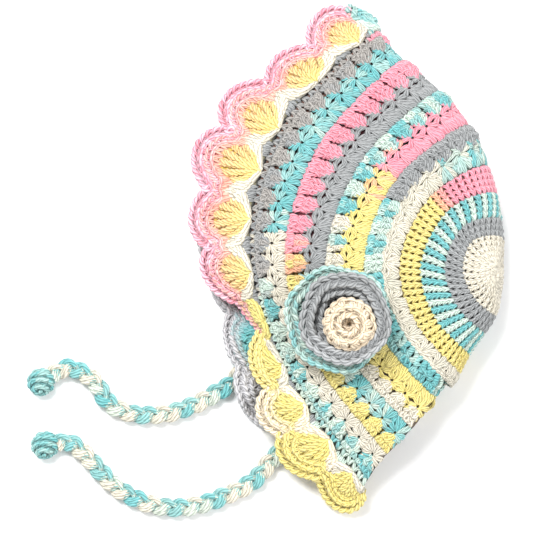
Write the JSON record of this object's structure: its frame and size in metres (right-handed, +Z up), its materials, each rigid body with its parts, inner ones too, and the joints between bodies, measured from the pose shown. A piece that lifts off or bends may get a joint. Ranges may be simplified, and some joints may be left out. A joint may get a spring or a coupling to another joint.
{
  "type": "crochet bonnet",
  "caption": "Baby's crochet bonnet lying on its side, with striped rows, a scalloped edge, a layered flower and two knotted ties.",
  "frame": {"origin": "middle of the bonnet's box in plan, at the table that it lies on, counted without the ties", "axes": "+Z up from the table; +Y from the neck edge to the top of the head along the folded bonnet, its longest extent; +X from the face opening to the crown"},
  "size_m": [0.2006, 0.2162, 0.0498],
  "materials": {
    "crown_yarn": "matte crochet",
    "side_yarn": "matte crochet",
    "edging_yarn": "matte crochet",
    "flower_mint_yarn": "matte crochet",
    "flower_grey_yarn": "matte crochet",
    "flower_cream_yarn": "matte crochet",
    "tie_yarn": "matte crochet"
  },
  "bodies": {
    "root": {"crown": "crown_yarn", "side": "side_yarn", "scalloped_edging": "edging_yarn", "flower_outer_petals": "flower_mint_yarn", "flower_middle_petals": "flower_grey_yarn", "flower_centre": "flower_cream_yarn", "far_tie": "tie_yarn", "near_tie": "tie_yarn", "far_knot": "tie_yarn", "near_knot": "tie_yarn"}
  },
  "joints": []
}
